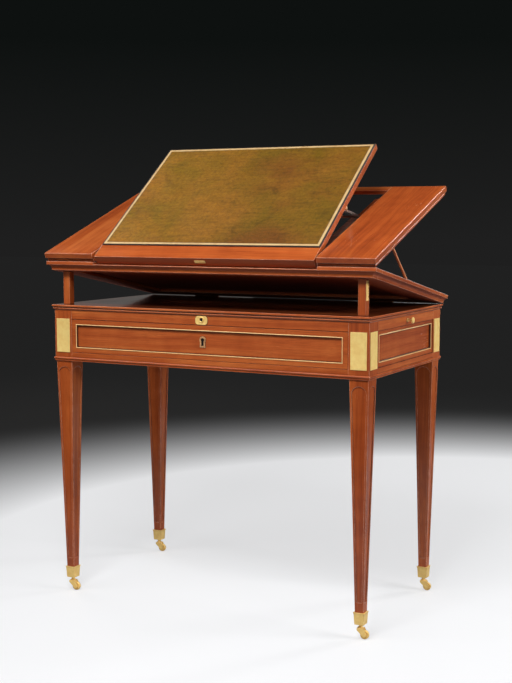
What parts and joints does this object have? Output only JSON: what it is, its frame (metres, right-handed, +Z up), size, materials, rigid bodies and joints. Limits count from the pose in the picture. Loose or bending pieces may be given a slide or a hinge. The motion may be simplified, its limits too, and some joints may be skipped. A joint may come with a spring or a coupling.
{
  "type": "architect table",
  "caption": "Mahogany architect table with rising hinged leaves, a tilting leather reading slope, a drawer, pull-out slides, tapering legs and brass casters.",
  "frame": {"origin": "on the floor below the middle of the open table's box", "axes": "+Z up, front of the table towards -Y, +X to the right seen from the front"},
  "size_m": [0.843, 0.468, 1.077],
  "materials": {
    "mahogany": "French polished mahogany",
    "oak": "unfinished oak linings",
    "brass": "polished and lightly aged",
    "steel": "filed and darkened",
    "leather": "aged olive brown with a plain gilt border"
  },
  "bodies": {
    "case": {"case_top": "mahogany", "leg_front_left": "mahogany", "leg_front_right": "mahogany", "leg_back_left": "mahogany", "leg_back_right": "mahogany", "side_panel_left": "mahogany", "side_panel_right": "mahogany", "back_panel": "mahogany", "bottom_rail": "mahogany", "bottom_mouldings": "mahogany", "corner_plaques": "brass", "side_beads": "brass", "runners": "oak", "candle_guides": "oak", "shoes": "brass", "back_hinge_case_leaves": "brass"},
    "left_post": {"post_left": "mahogany", "post_rack_left": "brass"},
    "right_post": {"post_right": "mahogany", "post_rack_right": "brass"},
    "lower_leaf": {"lower_front_rail": "mahogany", "lower_back_rail": "mahogany", "lower_side_rails": "mahogany", "lower_board": "mahogany", "back_hinge_leaves": "brass", "front_hinge_lower_leaves": "brass", "stay_strips": "brass"},
    "upper_leaf": {"upper_stile_left": "mahogany", "upper_stile_right": "mahogany", "upper_back_rail": "mahogany", "front_hinge_upper_leaves": "brass", "slope_racks": "steel", "pivot_pins": "brass"},
    "left_stay": {"stay_left": "mahogany"},
    "right_stay": {"stay_right": "mahogany"},
    "reading_slope": {"slope_board": "mahogany", "slope_leather": "leather", "slope_brass": "brass"},
    "prop": {"slope_prop": "steel"},
    "drawer": {"drawer_front": "mahogany", "drawer_sides": "oak", "drawer_back": "oak", "drawer_bottom": "oak", "drawer_bead": "brass", "key_plate": "brass", "drawer_lock": "steel"},
    "front_slide": {"writing_slide": "mahogany", "writing_pull": "brass"},
    "left_candle_slide": {"candle_slide_left": "mahogany", "candle_knob_left": "brass"},
    "right_candle_slide": {"candle_slide_right": "mahogany", "candle_knob_right": "brass"},
    "front_left_caster": {"caster_fork_front_left": "brass"},
    "front_left_wheel": {"caster_wheel_front_left": "brass"},
    "front_right_caster": {"caster_fork_front_right": "brass"},
    "front_right_wheel": {"caster_wheel_front_right": "brass"},
    "back_left_caster": {"caster_fork_back_left": "brass"},
    "back_left_wheel": {"caster_wheel_back_left": "brass"},
    "back_right_caster": {"caster_fork_back_right": "brass"},
    "back_right_wheel": {"caster_wheel_back_right": "brass"}
  },
  "joints": [
    {"name": "lower_leaf_lift", "type": "hinge", "parent": "case", "child": "lower_leaf", "pos_m": [0, 0.23099, 0.70015], "axis": [-1, 0, 0], "range_deg": [-10.26, 5]},
    {"name": "left_post_rise", "type": "slide", "parent": "case", "child": "left_post", "axis": [0, 0, 1], "range_m": [-0.07898, 0.03854]},
    {"name": "right_post_rise", "type": "slide", "parent": "case", "child": "right_post", "axis": [0, 0, 1], "range_m": [-0.07898, 0.03854]},
    {"name": "upper_leaf_tilt", "type": "hinge", "parent": "lower_leaf", "child": "upper_leaf", "pos_m": [0, -0.22138, 0.80266], "axis": [1, 0, 0], "range_deg": [-30.16, 10]},
    {"name": "left_stay_swing", "type": "hinge", "parent": "upper_leaf", "child": "left_stay", "pos_m": [-0.4, -0.0968, 0.85218], "axis": [-1, 0, 0], "range_deg": [-60.37, 20.05]},
    {"name": "right_stay_swing", "type": "hinge", "parent": "upper_leaf", "child": "right_stay", "pos_m": [0.4, -0.0968, 0.85218], "axis": [-1, 0, 0], "range_deg": [-60.37, 20.05]},
    {"name": "slope_tilt", "type": "hinge", "parent": "upper_leaf", "child": "reading_slope", "pos_m": [0, -0.20943, 0.82193], "axis": [1, 0, 0], "range_deg": [-17.4, 10]},
    {"name": "prop_swing", "type": "hinge", "parent": "reading_slope", "child": "prop", "pos_m": [0, -0.05925, 0.92678], "axis": [-1, 0, 0], "range_deg": [-47.31, 27.21]},
    {"name": "drawer_pull", "type": "slide", "parent": "case", "child": "drawer", "axis": [0, -1, 0], "range_m": [0, 0.28]},
    {"name": "front_slide_pull", "type": "slide", "parent": "case", "child": "front_slide", "axis": [0, -1, 0], "range_m": [0, 0.25]},
    {"name": "left_candle_pull", "type": "slide", "parent": "case", "child": "left_candle_slide", "axis": [-1, 0, 0], "range_m": [0, 0.18]},
    {"name": "right_candle_pull", "type": "slide", "parent": "case", "child": "right_candle_slide", "axis": [1, 0, 0], "range_m": [0, 0.18]},
    {"name": "front_left_swivel", "type": "hinge", "parent": "case", "child": "front_left_caster", "pos_m": [-0.38, -0.19541, 0.033], "axis": [0, 0, 1], "continuous": true},
    {"name": "front_left_roll", "type": "hinge", "parent": "front_left_caster", "child": "front_left_wheel", "pos_m": [-0.37114, -0.19385, 0.01], "axis": [-0.1736, 0.9848, 0], "continuous": true},
    {"name": "front_right_swivel", "type": "hinge", "parent": "case", "child": "front_right_caster", "pos_m": [0.38, -0.19541, 0.033], "axis": [0, 0, 1], "continuous": true},
    {"name": "front_right_roll", "type": "hinge", "parent": "front_right_caster", "child": "front_right_wheel", "pos_m": [0.38886, -0.19385, 0.01], "axis": [-0.1736, 0.9848, 0], "continuous": true},
    {"name": "back_left_swivel", "type": "hinge", "parent": "case", "child": "back_left_caster", "pos_m": [-0.38, 0.19859, 0.033], "axis": [0, 0, 1], "continuous": true},
    {"name": "back_left_roll", "type": "hinge", "parent": "back_left_caster", "child": "back_left_wheel", "pos_m": [-0.37114, 0.20015, 0.01], "axis": [-0.1736, 0.9848, 0], "continuous": true},
    {"name": "back_right_swivel", "type": "hinge", "parent": "case", "child": "back_right_caster", "pos_m": [0.38, 0.19859, 0.033], "axis": [0, 0, 1], "continuous": true},
    {"name": "back_right_roll", "type": "hinge", "parent": "back_right_caster", "child": "back_right_wheel", "pos_m": [0.38886, 0.20015, 0.01], "axis": [-0.1736, 0.9848, 0], "continuous": true}
  ],
  "couplings": [
    {"joint": "left_post_rise", "follows": "lower_leaf_lift", "m_per_rad": 0.4405},
    {"joint": "right_post_rise", "follows": "lower_leaf_lift", "m_per_rad": 0.4405},
    {"joint": "left_stay_swing", "follows": "upper_leaf_tilt", "ratio": 2},
    {"joint": "right_stay_swing", "follows": "upper_leaf_tilt", "ratio": 2},
    {"joint": "prop_swing", "follows": "slope_tilt", "ratio": 2.7164}
  ]
}
